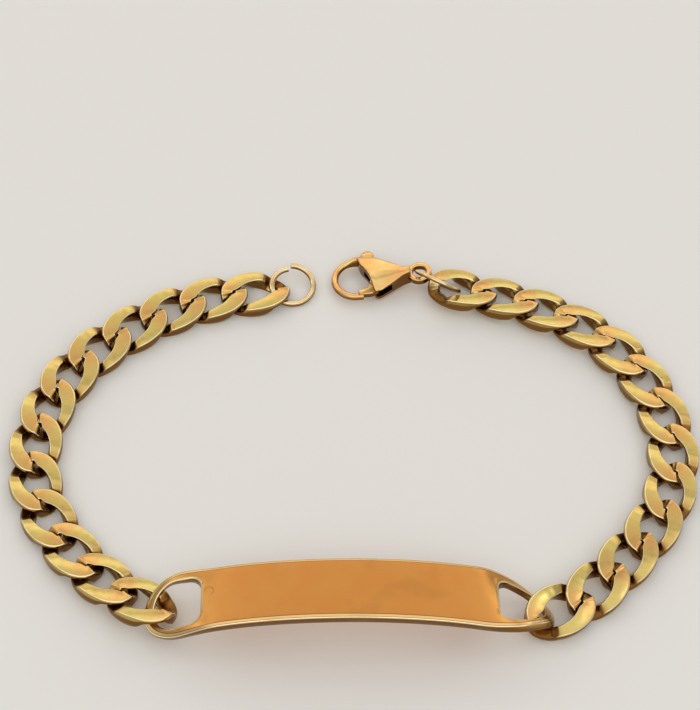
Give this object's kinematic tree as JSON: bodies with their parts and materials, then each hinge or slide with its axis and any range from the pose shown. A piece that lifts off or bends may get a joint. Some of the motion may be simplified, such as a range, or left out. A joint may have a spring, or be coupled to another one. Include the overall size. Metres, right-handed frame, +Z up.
{
  "type": "identity bracelet",
  "caption": "Open curb-chain bracelet with a plain arched name plate, a jump ring at one end and a lobster clasp with a sprung lever at the other.",
  "frame": {"origin": "middle of the bounding box in plan, at the height of the surface that the bracelet lies on", "axes": "+Z up off that surface; +X along the name plate, to the side of the clasp's tail; the name plate lies on the -Y side and the open ends on the +Y side"},
  "size_m": [0.083, 0.0586, 0.0081],
  "materials": {
    "plate_gold": "gold-coloured plating, polished, with a faint brushed haze",
    "link_gold": "gold-coloured plating, polished facets",
    "ring_gold": "gold-coloured plating, polished wire",
    "clasp_gold": "gold-coloured plating, polished"
  },
  "bodies": {
    "bracelet": {"id_plate": "plate_gold", "link_left_01": "link_gold", "link_left_02": "link_gold", "link_left_03": "link_gold", "link_left_04": "link_gold", "link_left_05": "link_gold", "link_left_06": "link_gold", "link_left_07": "link_gold", "link_left_08": "link_gold", "link_left_09": "link_gold", "link_left_10": "link_gold", "link_left_11": "link_gold", "link_left_12": "link_gold", "link_left_13": "link_gold", "link_right_01": "link_gold", "link_right_02": "link_gold", "link_right_03": "link_gold", "link_right_04": "link_gold", "link_right_05": "link_gold", "link_right_06": "link_gold", "link_right_07": "link_gold", "link_right_08": "link_gold", "link_right_09": "link_gold", "link_right_10": "link_gold", "link_right_11": "link_gold", "link_right_12": "link_gold", "link_right_13": "link_gold", "jump_ring": "ring_gold", "connector_ring": "ring_gold", "clasp_body": "clasp_gold"},
    "lever": {"clasp_lever": "clasp_gold"}
  },
  "joints": [
    {"name": "lever_hinge", "type": "hinge", "parent": "bracelet", "child": "lever", "pos_m": [0.00378, 0.02427, 0.00145], "axis": [0.1045, 0.0018, -0.9945], "range_deg": [0, 24], "stiffness_Nm_per_rad": 0.004, "springref_deg": -8.59}
  ]
}
